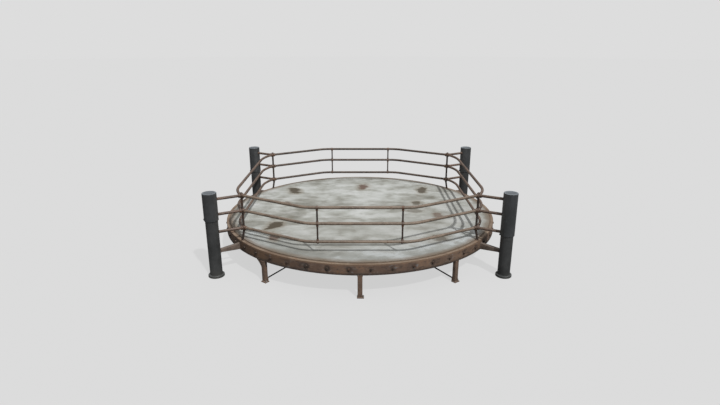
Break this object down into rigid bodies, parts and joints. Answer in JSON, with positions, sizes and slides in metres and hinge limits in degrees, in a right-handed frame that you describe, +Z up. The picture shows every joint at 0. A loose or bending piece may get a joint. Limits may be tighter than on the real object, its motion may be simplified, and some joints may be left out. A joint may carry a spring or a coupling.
{
  "type": "playground merry go round",
  "caption": "Round steel deck that turns on a centre pivot inside a bolted rim on short legs, with a bent three-rail guard fence tied to round corner posts.",
  "frame": {"origin": "on the ground, under the middle of the deck, on the axis it turns about", "axes": "+Z up along the turning axis; -Y towards the front, where the leg with the gusset is on the left; +X to the right seen from the front"},
  "size_m": [3.6964, 3.716, 1.039],
  "materials": {
    "rim_paint": "weathered reddish brown paint over rust",
    "ring_rust": "worn brown paint with a rusted edge",
    "lip_dark": "dark brown paint, dirty",
    "bolt_rust": "painted and rusted hex bolts",
    "anchor_zinc": "dull zinc",
    "leg_paint": "worn brown paint",
    "tie_black": "near black paint",
    "post_slate": "slate blue grey paint, satin",
    "sleeve_slate": "slate blue grey paint, satin",
    "cap_slate": "weathered slate paint, dusty",
    "foot_slate": "painted casting, scuffed",
    "arm_paint": "worn brown paint",
    "rail_paint": "brown paint worn by hands and weather",
    "upright_paint": "brown paint, worn",
    "fitting_paint": "brown painted castings, rusty in the corners",
    "pivot_grey": "grey primer",
    "bearing_steel": "ground and greased",
    "bronze": "machined bronze",
    "deck_steel": "pale grey weathered paint with rust stains",
    "deck_bolt": "dull steel, flush",
    "under_frame": "brown grey primer"
  },
  "bodies": {
    "frame": {"rim_band_1": "rim_paint", "rim_band_2": "rim_paint", "rim_band_3": "rim_paint", "rim_band_4": "rim_paint", "rim_angle_1": "ring_rust", "rim_angle_2": "ring_rust", "rim_angle_3": "ring_rust", "rim_angle_4": "ring_rust", "rim_lip": "lip_dark", "rim_bolts": "bolt_rust", "leg_front_left": "leg_paint", "leg_front": "leg_paint", "leg_front_right": "leg_paint", "leg_back_left": "leg_paint", "leg_back": "leg_paint", "leg_back_right": "leg_paint", "leg_bolts": "bolt_rust", "leg_anchors": "anchor_zinc", "tie_rods": "tie_black", "post_front_left": "post_slate", "post_front_right": "post_slate", "post_back_left": "post_slate", "post_back_right": "post_slate", "post_sleeves": "sleeve_slate", "post_caps": "cap_slate", "post_feet": "foot_slate", "post_arms": "arm_paint", "post_stubs": "rail_paint", "front_rail_top": "rail_paint", "front_rail_mid": "rail_paint", "front_rail_low": "rail_paint", "back_rail_top": "rail_paint", "back_rail_mid": "rail_paint", "back_rail_low": "rail_paint", "left_rail_top": "rail_paint", "left_rail_mid": "rail_paint", "left_rail_low": "rail_paint", "right_rail_top": "rail_paint", "right_rail_mid": "rail_paint", "right_rail_low": "rail_paint", "corner_stanchions": "upright_paint", "corner_fittings": "fitting_paint", "mid_stanchions": "upright_paint", "stanchion_clamps": "fitting_paint", "pedestal": "pivot_grey", "spindle": "bearing_steel", "thrust_race_lower": "bearing_steel", "spindle_nut": "bearing_steel"},
    "deck": {"thrust_race_upper": "bearing_steel", "hub_bush": "bronze", "deck_plate_front": "deck_steel", "deck_plate_back": "deck_steel", "deck_hub": "pivot_grey", "deck_arms": "under_frame", "deck_edge_ring": "under_frame", "deck_bolts": "deck_bolt"},
    "bearing": {"thrust_balls": "bearing_steel", "ball_cage": "bronze"}
  },
  "joints": [
    {"name": "deck_spin", "type": "hinge", "parent": "frame", "child": "deck", "pos_m": [0, 0, 0.262], "axis": [0, 0, 1], "continuous": true},
    {"name": "bearing_roll", "type": "hinge", "parent": "frame", "child": "bearing", "pos_m": [0, 0, 0.25], "axis": [0, 0, 1], "continuous": true}
  ],
  "couplings": [
    {"joint": "bearing_roll", "follows": "deck_spin", "ratio": 0.5}
  ]
}
